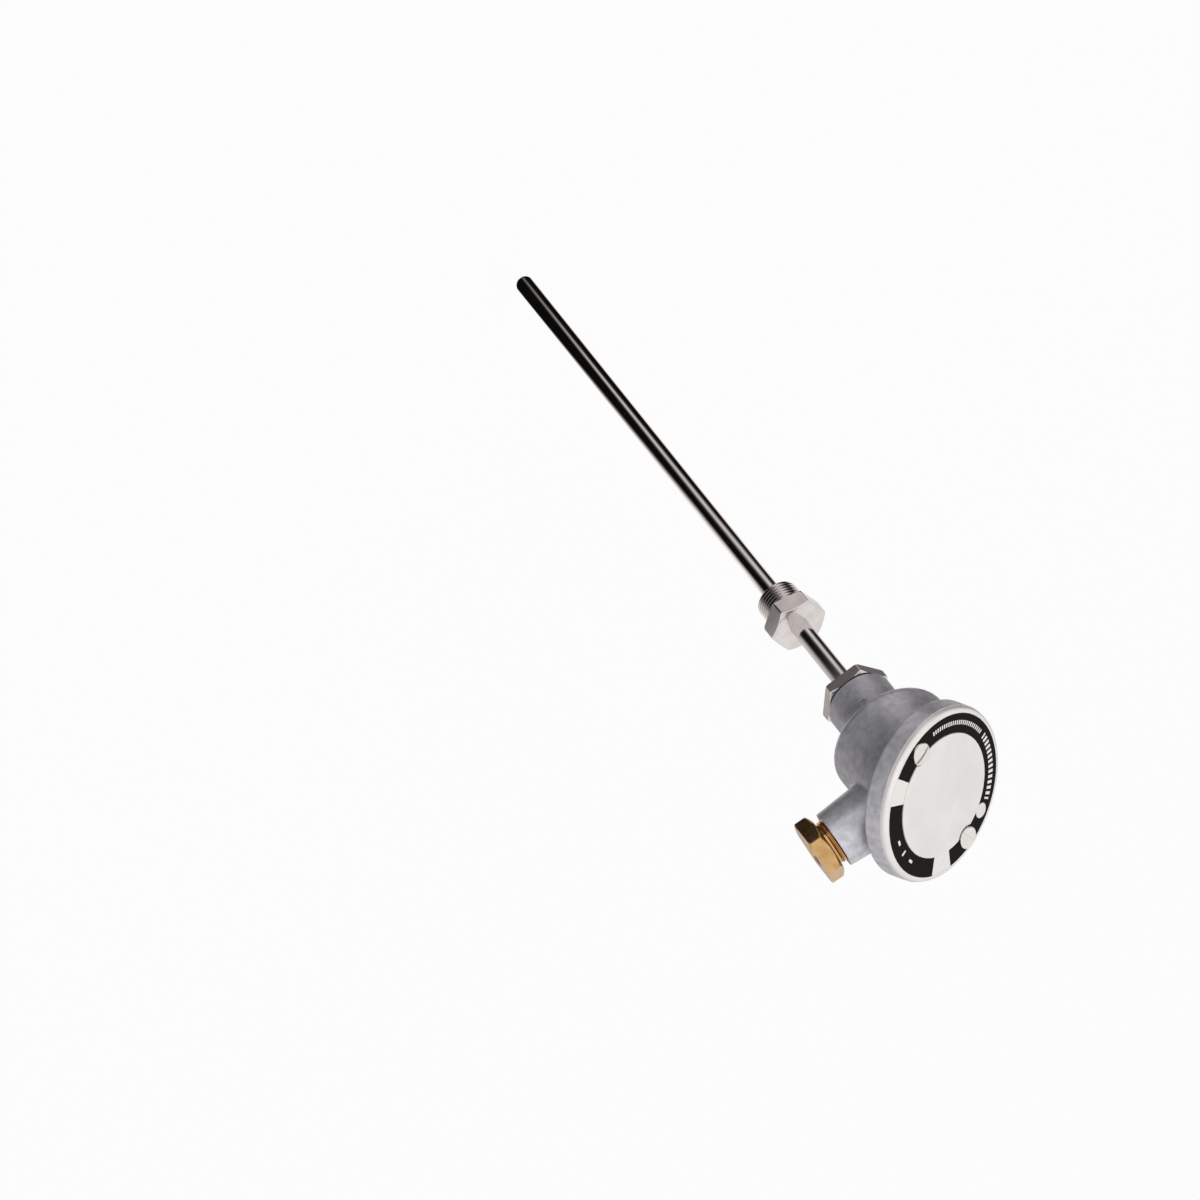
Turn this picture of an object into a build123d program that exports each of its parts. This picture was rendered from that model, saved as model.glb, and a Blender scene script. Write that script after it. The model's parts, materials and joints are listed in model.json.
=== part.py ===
from build123d import *
import math
import os

# Resistance thermometer: a long closed stem with a threaded process fitting, carrying a cast
# connection head with a slanted round cover and a side cable entry.
# Frame in millimetres: the origin lies on the stem axis at the sealing shoulder of the process
# fitting, +Z runs up the stem into the head and +X along the cable entry.

# Clearances and common details
turned_gap = 0.03        # radial, between turned pieces that are soldered, pressed or screwed together
sliding_gap = 0.08       # radial, between threads and pins drawn as plain cylinders
seat_gap = 0.3           # between a loose or soft piece and its seat
contact_gap = 0.05       # between two hard faces that bear on each other across a joint
thread_run_out = 1.0     # blind holes go this much deeper than their screws
hexagon_chamfer_angle = 30.0
screw_head_edge = 0.3    # chamfer of a slotted head, as a share of its height
screw_tip_edge = 0.12    # chamfer of a screw's tip, as a share of its diameter

# Protection tube
tube_diameter = 9.0
tube_wall = 1.0
tube_end_thickness = 3.0
tube_bore_corner = 1.4
insertion_length = 280.0       # sealing shoulder to tip

# Process fitting
fitting_across_flats = 25.0
fitting_hex_height = 9.2
fitting_hex_turn = 47.8        # degrees from +X to a corner
fitting_low_chamfer = 0.3
fitting_high_chamfer = 1.3
fitting_thread_diameter = 20.955
fitting_thread_length = 13.8
fitting_lead_in = 1.2
extension_length = 52.5        # bare tube between the fitting and the neck bush

# Neck bush that carries the head
bush_across_flats = 30.0
bush_hex_height = 5.6
bush_hex_turn = 3.2
bush_low_chamfer = 0.25
bush_high_chamfer = 0.9
bush_relief_diameter = 21.4
bush_gap = 1.7                 # open thread relief between the hexagon and the head's neck
bush_thread_diameter = 24.0
bush_thread_length = 17.0
bush_lead_in = 1.0

# Head casting
neck_diameter = 32.4
neck_length = 23.2
bowl_wall = 3.7
bowl_corner_radius = 6.0
bowl_under_slope = 0.3         # rise of the bowl's underside for each millimetre outwards
floor_thickness = 5.2          # above the foot of the bowl's underside
floor_corner_radius = 3.0
insert_hole_diameter = 16.0    # through the floor, round the measuring insert
neck_fillet = 2.0
rim_fillet = 3.5
boss_fillet = 2.5

# Slanted cover and the rim that it closes
cover_tilt = 25.6              # degrees, leaning away from the cable entry
cover_centre_x = -2.9          # middle of the cover's front face
cover_rise = 75.6              # middle of the cover's front face above the mouth of the neck
cover_diameter = 84.0
cover_thickness = 3.2
cover_edge_radius = 2.2
disc_step = 0.35               # raised middle of the cover
disc_crown = 0.6
spigot_height = 2.4
spigot_wall = 1.8
rim_overhang = 0.5             # rim of the casting beyond the cover's edge
rim_height = 9.1
rim_edge_radius = 1.2
rim_bore_inset = 11.5          # in from the cover's edge
rim_bore_depth = 6.3
gasket_thickness = 1.5
gasket_inset = 2.5             # in from the cover's edge
lug_radius = 6.0
lug_floor = 2.0                # metal under a cover screw's hole

# Printed ring, screws and rivet of the cover
ring_inset = 2.7               # in from the cover's edge
ring_width = 9.2
ring_thickness = 0.5
ring_gap = 0.1
cover_screw_inset = 8.7        # axis, in from the cover's edge
cover_screw_diameter = 5.0
cover_screw_length = 9.0       # under the head
screw_head_diameter = 11.0
screw_head_height = 2.4
screw_slot_width = 1.3
screw_slot_depth = 1.2
screw_slot_turns = (18.6, -85.3)
spot_face_gap = 0.6
rivet_angle = 114.5
rivet_inset = 7.9              # axis, in from the cover's edge
rivet_head_diameter = 7.4
rivet_head_height = 1.1
rivet_shank_diameter = 3.0

# Locking screw in the neck
set_screw_diameter = 4.0
set_screw_rise = 15.0          # above the mouth of the neck
set_screw_angle = -86.0
set_screw_sink = 0.4
set_screw_slot_width = 0.7
set_screw_slot_depth = 1.0
set_screw_slot_turn = 35.0

# Cable entry
boss_mouth_x = 49.2
boss_root_x = 15.0             # inner end of the boss, inside the bowl's room
boss_mouth_diameter = 28.0
boss_draft = 4.0               # degrees on each side
boss_rise = 60.2               # axis above the mouth of the neck
entry_thread_diameter = 22.5
entry_thread_pitch = 1.411
entry_thread_depth = 18.7
entry_inner_diameter = 15.0
gland_washer_thickness = 1.3
gland_washer_hole = 13.0
gland_seal_length = 7.0
gland_seal_hole = 11.0
gland_turns = 2                # turns that the pressure screw still has to go
gland_collar_out = 2.6         # threaded collar seen outside the boss
gland_relief_diameter = 20.8
gland_relief_length = 1.1
gland_lead_in = 0.9
gland_across_flats = 29.0
gland_hex_height = 7.9
gland_low_chamfer = 1.8
gland_high_chamfer = 0.5
gland_hex_turn = 94.3          # degrees from +Y towards +Z
gland_hole = 12.0
gland_flare = 1.6

# Measuring insert
insert_diameter = 6.0
insert_wall = 0.8
insert_end_thickness = 1.5
insert_tip_round = 1.8
plate_diameter = 42.0
plate_room = 4.8               # between the plate's edge and the bowl's wall
plate_thickness = 1.5
plate_lift = 2.2               # the springs hold the tip down and the plate off the floor
fixing_inset = 4.5             # axis, in from the plate's edge
fixing_screw_diameter = 4.0
fixing_head_diameter = 7.0
fixing_head_height = 2.6
fixing_engagement = 4.0
fixing_slot_width = 1.0
fixing_slot_depth = 1.2
fixing_slot_turn = 50.0
element_diameter = 2.8
element_length = 20.0
conductor_diameter = 0.8
conductor_circle = 2.3
conductor_count = 3
conductor_start = -60.0        # degrees from +X to the first conductor
end_seal_length = 4.0
sheath_above_plate = 5.0

# Terminal block on the insert's plate
block_inset = 2.0              # in from the plate's edge
block_height = 13.0
block_centre_hole = 9.4
block_edge = 0.8
pocket_diameter = 7.6
pocket_floor = 5.0             # height of the spring's seat above the plate
spring_length = 16.0
spring_outer_diameter = 6.6
spring_wire = 0.9
spring_turns = 6
terminal_width = 5.5
terminal_length = 8.5
terminal_height = 5.0
terminal_spacing = 8.0
terminal_start_x = 6.0
terminal_sink = 1.2            # depth of the seat in the block
terminal_corner = 0.6
terminal_screw_diameter = 2.5
terminal_screw_head = 4.4
terminal_screw_head_height = 1.8
terminal_screw_inset = 2.3
terminal_slot_width = 0.7
terminal_slot_depth = 0.8
terminal_slot_turn = 25.0
lead_diameter = 1.4
lead_rise = 5.5                # top of the bend above the block
lead_bend = 1.35
lead_step = 1.7                # the middle lead passes over the others
lead_run = 3.0                 # straight part of a lead before its terminal

# Heights and radii that follow from the sizes above
tube_radius = tube_diameter / 2
bush_z = fitting_hex_height + extension_length
neck_z = bush_z + bush_hex_height + bush_gap
bush_top_z = neck_z + bush_thread_length
bowl_z = neck_z + neck_length
floor_z = bowl_z + floor_thickness
bowl_inner_radius = plate_diameter / 2 + plate_room
bowl_radius = bowl_inner_radius + bowl_wall
block_diameter = plate_diameter - 2 * block_inset
fixing_radius = plate_diameter / 2 - fixing_inset
cover_radius = cover_diameter / 2
rim_radius = cover_radius + rim_overhang
rim_bore_radius = cover_radius - rim_bore_inset
gasket_radius = cover_radius - gasket_inset
ring_radius = cover_radius - ring_inset
disc_radius = ring_radius - ring_width - ring_gap
cover_screw_radius = cover_radius - cover_screw_inset
cover_screw_hole = cover_screw_length + thread_run_out - cover_thickness
boss_z = neck_z + boss_rise
cover_plane = Plane(
    origin=(cover_centre_x, 0, neck_z + cover_rise),
    x_dir=(math.cos(math.radians(cover_tilt)), 0, math.sin(math.radians(cover_tilt))),
    z_dir=(-math.sin(math.radians(cover_tilt)), 0, math.cos(math.radians(cover_tilt))),
)
rim_plane = cover_plane.offset(-cover_thickness)
entry_plane = Plane(origin=(0, 0, boss_z), x_dir=(0, 1, 0), z_dir=(1, 0, 0))
plate_z = floor_z + plate_lift
plate_top_z = plate_z + plate_thickness
block_top_z = plate_top_z + block_height
spring_seat_z = plate_top_z + pocket_floor
spring_top_z = spring_seat_z + spring_length
sheath_top_z = plate_top_z + sheath_above_plate
tube_bottom_z = -insertion_length + tube_end_thickness
insert_tip_z = tube_bottom_z + seat_gap
entry_shoulder_x = boss_mouth_x - entry_thread_depth
seal_x = entry_shoulder_x + gland_washer_thickness
outer_washer_x = seal_x + gland_seal_length + gland_turns * entry_thread_pitch + contact_gap
gland_nose_x = outer_washer_x + gland_washer_thickness + contact_gap
gland_hex_x = boss_mouth_x + gland_collar_out + gland_relief_length


def turned(points, plane=Plane.XZ):
    """A solid of revolution about the plane's upright axis from (radius, height) points."""
    face = make_face(plane * Polyline(*points, close=True))
    return revolve(face, Axis(plane.origin, plane.y_dir), 360)


def cylinder_between(radius, start, end, plane=Plane.XY):
    """A cylinder along the plane's normal, between two distances from the plane."""
    return extrude(plane.offset(start) * Circle(radius), end - start)


def hexagon_blank(across_flats, height, turn, low_chamfer, high_chamfer):
    """A hexagon along +Z from z = 0, with its corners turned off at either end."""
    corner = across_flats / math.sqrt(3)
    body = extrude(RegularPolygon(corner, 6, rotation=turn), height)
    rise = math.tan(math.radians(hexagon_chamfer_angle))
    low_radius = corner - low_chamfer / rise
    high_radius = corner - high_chamfer / rise
    envelope = turned(
        [
            (0, 0),
            (low_radius, 0),
            (corner, low_chamfer),
            (corner, height - high_chamfer),
            (high_radius, height),
            (0, height),
        ]
    )
    return body & envelope


def protection_tube():
    """Closed stem: a drawn tube with a welded and rounded tip."""
    outside = cylinder_between(tube_radius, -insertion_length + tube_radius, bush_top_z)
    outside += Pos(0, 0, -insertion_length + tube_radius) * Sphere(tube_radius)
    bore_radius = tube_radius - tube_wall
    bore = cylinder_between(bore_radius, tube_bottom_z, bush_top_z)
    bore = fillet(bore.edges().sort_by(Axis.Z)[0], tube_bore_corner)
    return outside - bore


def process_fitting():
    """Hexagon with a parallel pipe thread below its sealing shoulder, soldered to the stem."""
    hexagon = hexagon_blank(
        fitting_across_flats,
        fitting_hex_height,
        fitting_hex_turn,
        fitting_low_chamfer,
        fitting_high_chamfer,
    )
    thread = fitting_thread_diameter / 2
    spigot = turned(
        [
            (0, 0),
            (thread, 0),
            (thread, -fitting_thread_length + fitting_lead_in),
            (thread - fitting_lead_in, -fitting_thread_length),
            (0, -fitting_thread_length),
        ]
    )
    bore = cylinder_between(tube_radius + turned_gap, -fitting_thread_length, fitting_hex_height)
    return hexagon + spigot - bore


def neck_bush():
    """Hexagon bush soldered on the stem, screwed up into the neck of the head."""
    hexagon = hexagon_blank(
        bush_across_flats,
        bush_hex_height,
        bush_hex_turn,
        bush_low_chamfer,
        bush_high_chamfer,
    )
    thread = bush_thread_diameter / 2 - sliding_gap
    relief = bush_relief_diameter / 2
    top = bush_top_z - bush_z
    start = bush_hex_height + bush_gap
    shank = turned(
        [
            (0, bush_hex_height),
            (relief, bush_hex_height),
            (relief, start - contact_gap),
            (thread, start + thread - relief),
            (thread, top - bush_lead_in),
            (thread - bush_lead_in, top),
            (0, top),
        ]
    )
    bore = cylinder_between(tube_radius + turned_gap, 0, top)
    return Pos(0, 0, bush_z) * (hexagon + shank - bore)


def set_screw_plane():
    """Plane on the stem axis whose normal points out through the locking screw."""
    angle = math.radians(set_screw_angle)
    outwards = (math.cos(angle), math.sin(angle), 0)
    return Plane(origin=(0, 0, neck_z + set_screw_rise), x_dir=(0, 0, 1), z_dir=outwards)


def neck_set_screw():
    """Slotted grub screw that locks the neck of the head on the bush."""
    plane = set_screw_plane()
    start = bush_thread_diameter / 2
    end = neck_diameter / 2 - set_screw_sink
    screw = cylinder_between(set_screw_diameter / 2 - sliding_gap, start, end, plane)
    slot = Box(set_screw_slot_width, set_screw_diameter, 2 * set_screw_slot_depth)
    return screw - plane.offset(end) * Rot(0, 0, set_screw_slot_turn) * slot


def cover_screw_places():
    """Places of the two cover screws on the cover's front plane."""
    return [Pos(0, cover_screw_radius, 0), Pos(0, -cover_screw_radius, 0)]


def rivet_place():
    """Place of the rivet on the cover's front plane."""
    return Rot(0, 0, rivet_angle) * Pos(cover_radius - rivet_inset, 0, 0)


def fixing_places():
    """Places of the two fixing screws of the measuring insert, on either side of the stem."""
    return [Pos(0, fixing_radius, 0), Pos(0, -fixing_radius, 0)]


def housing_outside():
    """Outer form of the casting: neck and bowl about the stem, slanted rim, drafted cable boss."""
    neck = neck_diameter / 2
    bowl = bowl_radius
    corner_centre = bowl - bowl_corner_radius
    corner_z = bowl_z + bowl_under_slope * (corner_centre - neck) + bowl_corner_radius
    tall = neck_z + cover_rise + rim_radius
    slope = math.atan(bowl_under_slope)
    lines = Polyline((0, tall), (0, neck_z), (neck, neck_z), (neck, bowl_z))
    start = (
        corner_centre + bowl_corner_radius * math.sin(slope),
        corner_z - bowl_corner_radius * math.cos(slope),
    )
    under = Line((neck, bowl_z), start)
    corner = RadiusArc(start, (bowl, corner_z), -bowl_corner_radius)
    side = Polyline((bowl, corner_z), (bowl, tall), (0, tall))
    body = revolve(make_face(Plane.XZ * (lines + under + corner + side)), Axis.Z, 360)
    foot = body.edges().filter_by(GeomType.CIRCLE).filter_by(lambda e: abs(e.radius - neck) < 0.01)
    body = fillet(foot.sort_by(Axis.Z)[-1], neck_fillet)

    rim = extrude(rim_plane * Circle(rim_radius), -rim_height)
    rim_back = rim.faces().sort_by(Axis(cover_plane.origin, cover_plane.z_dir))[0]
    rim = fillet(rim_back.edges(), rim_edge_radius)
    above = extrude(rim_plane * Circle(2 * rim_radius), 4 * rim_radius)
    body = body - above
    shell = body + rim
    shell = fillet(new_edges(body, rim, combined=shell), rim_fillet)

    root_radius = boss_mouth_diameter / 2
    root_radius += (boss_mouth_x - boss_root_x) * math.tan(math.radians(boss_draft))
    boss = loft(
        [
            entry_plane.offset(boss_root_x) * Circle(root_radius),
            entry_plane.offset(boss_mouth_x) * Circle(boss_mouth_diameter / 2),
        ]
    )
    whole = shell + (boss - above)
    return fillet(new_edges(shell, boss, combined=whole), boss_fillet)


def housing_hollow():
    """Room inside the casting: bowl, slanted rim bore with its screw lugs, and gasket seat."""
    tall = neck_z + cover_rise + rim_radius
    bowl = cylinder_between(bowl_inner_radius, floor_z, tall)
    bowl = fillet(bowl.edges().sort_by(Axis.Z)[0], floor_corner_radius)
    rim_bore = extrude(rim_plane * Circle(rim_bore_radius), -rim_bore_depth)
    room = bowl + rim_bore
    for place in cover_screw_places():
        room -= extrude(rim_plane * place * Circle(lug_radius), -cover_screw_hole - lug_floor)
    gasket_seat = extrude(rim_plane * Circle(gasket_radius + ring_gap), -gasket_thickness)
    return room + gasket_seat


def head_housing():
    """Cast head: everything that the cover, the bush, the gland and the insert seat in."""
    body = housing_outside() - housing_hollow()
    body -= cylinder_between(bush_thread_diameter / 2, neck_z, bush_top_z + thread_run_out)
    body -= cylinder_between(insert_hole_diameter / 2, neck_z, floor_z)
    body -= cylinder_between(entry_thread_diameter / 2, entry_shoulder_x, boss_mouth_x, entry_plane)
    body -= cylinder_between(entry_inner_diameter / 2, 0, boss_mouth_x, entry_plane)
    body -= cylinder_between(set_screw_diameter / 2, 0, neck_diameter, set_screw_plane())
    for place in cover_screw_places():
        body -= extrude(rim_plane * place * Circle(cover_screw_diameter / 2), -cover_screw_hole)
    for place in fixing_places():
        body -= place * cylinder_between(
            fixing_screw_diameter / 2, floor_z - fixing_engagement - contact_gap, floor_z
        )
    return body


def cover_gasket():
    """Flat rubber ring under the cover, with an ear on each lug for the cover screws."""
    ring = Circle(gasket_radius) - Circle(rim_bore_radius)
    for place in cover_screw_places():
        ring += place * Circle(lug_radius)
    for place in cover_screw_places():
        ring -= place * Circle(cover_screw_diameter / 2 + seat_gap)
    return extrude(rim_plane * ring, -gasket_thickness)


def head_cover():
    """Cast cover: rounded edge, raised crowned middle, seat for the printed ring, inner spigot."""
    radius = cover_radius
    disc = disc_radius
    seat = ring_radius + ring_gap
    spigot = cover_screw_radius - lug_radius - seat_gap
    through = 4 * cover_thickness
    crown_radius = (disc * disc + disc_crown * disc_crown) / (2 * disc_crown)
    outline = Polyline(
        (0, -cover_thickness),
        (spigot - spigot_wall, -cover_thickness),
        (spigot - spigot_wall, -cover_thickness - spigot_height),
        (spigot, -cover_thickness - spigot_height),
        (spigot, -cover_thickness),
        (radius, -cover_thickness),
        (radius, -cover_edge_radius),
    )
    edge = RadiusArc((radius, -cover_edge_radius), (radius - cover_edge_radius, 0), -cover_edge_radius)
    front = Polyline(
        (radius - cover_edge_radius, 0),
        (seat, 0),
        (seat, -ring_thickness),
        (disc, -ring_thickness),
        (disc, disc_step),
    )
    crown = RadiusArc((disc, disc_step), (0, disc_step + disc_crown), -crown_radius)
    axis = Line((0, disc_step + disc_crown), (0, -cover_thickness))
    section = make_face(Plane.XZ * (outline + edge + front + crown + axis))
    body = revolve(section, Axis.Z, 360)
    for place in cover_screw_places():
        spot = Circle(screw_head_diameter / 2 + spot_face_gap)
        body -= place * extrude(Plane.XY.offset(-ring_thickness) * spot, cover_thickness)
        body -= place * Cylinder(cover_screw_diameter / 2 + sliding_gap, through)
    body -= rivet_place() * Cylinder(rivet_shank_diameter / 2 + turned_gap, through)
    return cover_plane * body


def label_ring():
    """Thin printed ring let into the cover, held by the cover screws and the rivet."""
    ring = Circle(ring_radius) - Circle(disc_radius + ring_gap)
    for place in cover_screw_places():
        ring -= place * Circle(cover_screw_diameter / 2 + sliding_gap)
    ring -= rivet_place() * Circle(rivet_shank_diameter / 2 + turned_gap)
    return cover_plane * extrude(ring, -ring_thickness)


def cover_rivet():
    """Round-headed rivet through the printed ring and the cover."""
    shank = cylinder_between(rivet_shank_diameter / 2, -cover_thickness, 0)
    head_radius = rivet_head_diameter / 2
    dome = (head_radius**2 + rivet_head_height**2) / (2 * rivet_head_height)
    cap = Pos(0, 0, rivet_head_height - dome) * Sphere(dome)
    head = cap & cylinder_between(head_radius, 0, 2 * rivet_head_height)
    return cover_plane * rivet_place() * (head + shank)


def slotted_screw(diameter, length, head_diameter, head_height, slot_width, slot_depth):
    """Slotted cheese-head screw on its seat at z = 0: shank along -Z, slot along Y."""
    head = cylinder_between(head_diameter / 2, 0, head_height)
    head = chamfer(head.edges().sort_by(Axis.Z)[-1], head_height * screw_head_edge)
    slot = Box(slot_width, 2 * head_diameter, 2 * slot_depth)
    head -= Pos(0, 0, head_height) * slot
    shank = cylinder_between(diameter / 2, -length, 0)
    shank = chamfer(shank.edges().sort_by(Axis.Z)[0], diameter * screw_tip_edge)
    return head + shank


def cover_screws():
    """The two cover screws: each holds the cover, the printed ring and the gasket on the rim."""
    screw = slotted_screw(
        cover_screw_diameter - 2 * sliding_gap,
        cover_screw_length,
        screw_head_diameter,
        screw_head_height,
        screw_slot_width,
        screw_slot_depth,
    )
    screws = []
    for place, turn in zip(cover_screw_places(), screw_slot_turns):
        screws.append(cover_plane * place * Rot(0, 0, turn) * screw)
    return Compound(children=screws)


def gland_ring(start_x, thickness, hole):
    """A ring in the bore of the cable entry, loose enough to slide."""
    radius = entry_thread_diameter / 2 - seat_gap
    ring = cylinder_between(radius, start_x, start_x + thickness, entry_plane)
    return ring - cylinder_between(hole / 2, start_x, start_x + thickness, entry_plane)


def gland_screw():
    """Brass pressure screw: threaded collar, relief and chamfered hexagon with a flared hole."""
    thread = entry_thread_diameter / 2 - sliding_gap
    relief = gland_relief_diameter / 2
    collar_end = gland_hex_x - gland_relief_length
    collar = turned(
        [
            (0, gland_nose_x),
            (thread - gland_lead_in, gland_nose_x),
            (thread, gland_nose_x + gland_lead_in),
            (thread, collar_end - (thread - relief)),
            (relief, collar_end),
            (relief, gland_hex_x),
            (0, gland_hex_x),
        ]
    )
    hexagon = hexagon_blank(
        gland_across_flats,
        gland_hex_height,
        gland_hex_turn,
        gland_low_chamfer,
        gland_high_chamfer,
    )
    screw = collar + Pos(0, 0, gland_hex_x) * hexagon
    end = gland_hex_x + gland_hex_height
    hole = gland_hole / 2
    screw -= turned(
        [
            (0, gland_nose_x),
            (hole, gland_nose_x),
            (hole, end - gland_flare),
            (hole + gland_flare, end),
            (0, end),
        ]
    )
    return entry_plane * screw


def insert_sheath():
    """Thin stainless sheath of the measuring insert, closed and rounded at the tip."""
    radius = insert_diameter / 2
    body = cylinder_between(radius, insert_tip_z, sheath_top_z)
    body = fillet(body.edges().sort_by(Axis.Z)[0], insert_tip_round)
    return body - cylinder_between(radius - insert_wall, insert_tip_z + insert_end_thickness, sheath_top_z)


def conductor_places():
    """Places of the conductors round the axis of the insert."""
    step = 360 / conductor_count
    angles = [conductor_start - step * i for i in range(conductor_count)]
    return [Rot(0, 0, angle) * Pos(conductor_circle / 2, 0, 0) for angle in angles]


def element_span():
    """Lower and upper end of the sensing element."""
    low = insert_tip_z + insert_end_thickness + insert_wall
    return low, low + element_length


def mineral_fill():
    """Compacted powder round the element and the conductors, up to the end seal."""
    low, high = element_span()
    radius = insert_diameter / 2 - insert_wall - turned_gap
    top = sheath_top_z - end_seal_length
    body = cylinder_between(radius, insert_tip_z + insert_end_thickness, top)
    body -= cylinder_between(element_diameter / 2 + turned_gap, low, high)
    for place in conductor_places():
        body -= place * cylinder_between(conductor_diameter / 2 + turned_gap, high, top)
    return body


def sensor_element():
    """Ceramic resistance element at the tip of the insert."""
    low, high = element_span()
    return cylinder_between(element_diameter / 2, low, high)


def conductor(index):
    """One conductor from the element through the powder and the end seal."""
    high = element_span()[1]
    return conductor_places()[index] * cylinder_between(conductor_diameter / 2, high, sheath_top_z)


def end_seal():
    """Potting that closes the top of the sheath round the conductors."""
    radius = insert_diameter / 2 - insert_wall - turned_gap
    plug = cylinder_between(radius, sheath_top_z - end_seal_length, sheath_top_z)
    for place in conductor_places():
        hole = conductor_diameter / 2 + turned_gap
        plug -= place * cylinder_between(hole, sheath_top_z - end_seal_length, sheath_top_z)
    return plug


def insert_plate():
    """Round steel plate of the insert, soldered to the sheath, with its two fixing holes."""
    plate = cylinder_between(plate_diameter / 2, plate_z, plate_top_z)
    plate -= cylinder_between(insert_diameter / 2 + turned_gap, plate_z, plate_top_z)
    for place in fixing_places():
        plate -= place * cylinder_between(fixing_screw_diameter / 2 + seat_gap, plate_z, plate_top_z)
    return plate


def terminal_places():
    """Corner of each terminal nearest the middle, on the top of the block."""
    middle = (conductor_count - 1) / 2
    rows = [(i - middle) * terminal_spacing for i in range(conductor_count)]
    return [Pos(terminal_start_x, row, block_top_z) for row in rows]


def terminal_block():
    """Ceramic block: spring pockets open at its sides, a hole for the leads, terminal seats."""
    block = cylinder_between(block_diameter / 2, plate_top_z, block_top_z)
    block = chamfer(block.edges().sort_by(Axis.Z)[-1], block_edge)
    block -= cylinder_between(block_centre_hole / 2, plate_top_z, block_top_z)
    for place in fixing_places():
        block -= place * cylinder_between(pocket_diameter / 2, spring_seat_z, block_top_z)
        block -= place * cylinder_between(fixing_screw_diameter / 2 + seat_gap, plate_top_z, block_top_z)
    for place in terminal_places():
        seat = Box(terminal_length + 2 * turned_gap, terminal_width + 2 * turned_gap, 2 * terminal_sink)
        block -= place * Pos(terminal_length / 2, 0, 0) * seat
        for inset in (terminal_screw_inset, terminal_length - terminal_screw_inset):
            tail = Cylinder(terminal_screw_diameter / 2 + seat_gap, 4 * terminal_sink)
            block -= place * Pos(inset, 0, 0) * tail
    return block


def terminal(index):
    """Brass terminal with two tapped holes and a cross hole for the wires."""
    body = Box(terminal_length, terminal_width, terminal_height)
    body = chamfer(body.edges().filter_by(Axis.Z), terminal_corner)
    body = Pos(terminal_length / 2, 0, terminal_height / 2) * body
    hole = Cylinder(terminal_screw_diameter / 2, 2 * terminal_height)
    for inset in (terminal_screw_inset, terminal_length - terminal_screw_inset):
        body -= Pos(inset, 0, terminal_height / 2) * hole
    return terminal_places()[index] * Pos(0, 0, -terminal_sink) * body


def terminal_screws():
    """Two small slotted screws in each terminal."""
    screw = slotted_screw(
        terminal_screw_diameter - 2 * sliding_gap,
        terminal_height,
        terminal_screw_head,
        terminal_screw_head_height,
        terminal_slot_width,
        terminal_slot_depth,
    )
    screw = Rot(0, 0, terminal_slot_turn) * screw
    top = terminal_height - terminal_sink
    screws = []
    for place in terminal_places():
        for inset in (terminal_screw_inset, terminal_length - terminal_screw_inset):
            screws.append(place * Pos(inset, 0, top) * screw)
    return Compound(children=screws)


def lead(index):
    """Insulated lead from the end seal up through the block and down to its terminal."""
    start = conductor_places()[index] * Pos(0, 0, sheath_top_z)
    a = start.position
    over = block_top_z + lead_rise + lead_step * (index % 2)
    face = terminal_places()[index].position
    end_z = block_top_z + (terminal_height - terminal_sink) / 2
    reach = face.X - lead_run
    path = FilletPolyline(
        (a.X, a.Y, a.Z),
        (a.X, a.Y, over),
        (reach, face.Y, over),
        (reach, face.Y, end_z),
        (face.X, face.Y, end_z),
        radius=lead_bend,
    )
    return sweep(Plane(origin=path @ 0, z_dir=path % 0) * Circle(lead_diameter / 2), path)


def fixing_screws():
    """The two long screws that hold the insert's plate in the head through their springs."""
    length = spring_top_z - floor_z + fixing_engagement
    screw = slotted_screw(
        fixing_screw_diameter - 2 * sliding_gap,
        length,
        fixing_head_diameter,
        fixing_head_height,
        fixing_slot_width,
        fixing_slot_depth,
    )
    screw = Rot(0, 0, fixing_slot_turn) * screw
    return Compound(children=[place * Pos(0, 0, spring_top_z) * screw for place in fixing_places()])


def insert_spring(index):
    """Compression spring between the terminal block and the head of a fixing screw."""
    wire = spring_wire / 2
    radius = spring_outer_diameter / 2 - wire
    height = spring_length - 2 * wire - 2 * contact_gap
    coil = Helix(pitch=height / spring_turns, height=height, radius=radius)
    body = sweep(Plane(origin=coil @ 0, z_dir=coil % 0) * Circle(wire), coil, is_frenet=True)
    return fixing_places()[index] * Pos(0, 0, spring_seat_z + wire + contact_gap) * body


def all_parts():
    """Every node of the model by name."""
    washer = gland_washer_thickness
    parts = {
        "protection_tube": protection_tube(),
        "process_fitting": process_fitting(),
        "neck_bush": neck_bush(),
        "neck_set_screw": neck_set_screw(),
        "head_housing": head_housing(),
        "cover_gasket": cover_gasket(),
        "head_cover": head_cover(),
        "label_ring": label_ring(),
        "cover_rivet": cover_rivet(),
        "cover_screws": cover_screws(),
        "gland_inner_washer": gland_ring(entry_shoulder_x, washer, gland_washer_hole),
        "gland_seal": gland_ring(seal_x, gland_seal_length, gland_seal_hole),
        "gland_outer_washer": gland_ring(outer_washer_x, washer, gland_washer_hole),
        "gland_screw": gland_screw(),
        "insert_sheath": insert_sheath(),
        "mineral_fill": mineral_fill(),
        "sensor_element": sensor_element(),
        "end_seal": end_seal(),
        "insert_plate": insert_plate(),
        "terminal_block": terminal_block(),
        "terminal_screws": terminal_screws(),
        "fixing_screws": fixing_screws(),
    }
    for index in range(conductor_count):
        parts[f"conductor_{index + 1}"] = conductor(index)
        parts[f"terminal_{index + 1}"] = terminal(index)
        parts[f"lead_{index + 1}"] = lead(index)
    for index in range(2):
        parts[f"insert_spring_{index + 1}"] = insert_spring(index)
    return parts


os.makedirs("parts", exist_ok=True)
for name, shape in all_parts().items():
    export_step(shape, f"parts/{name}.step")
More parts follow.
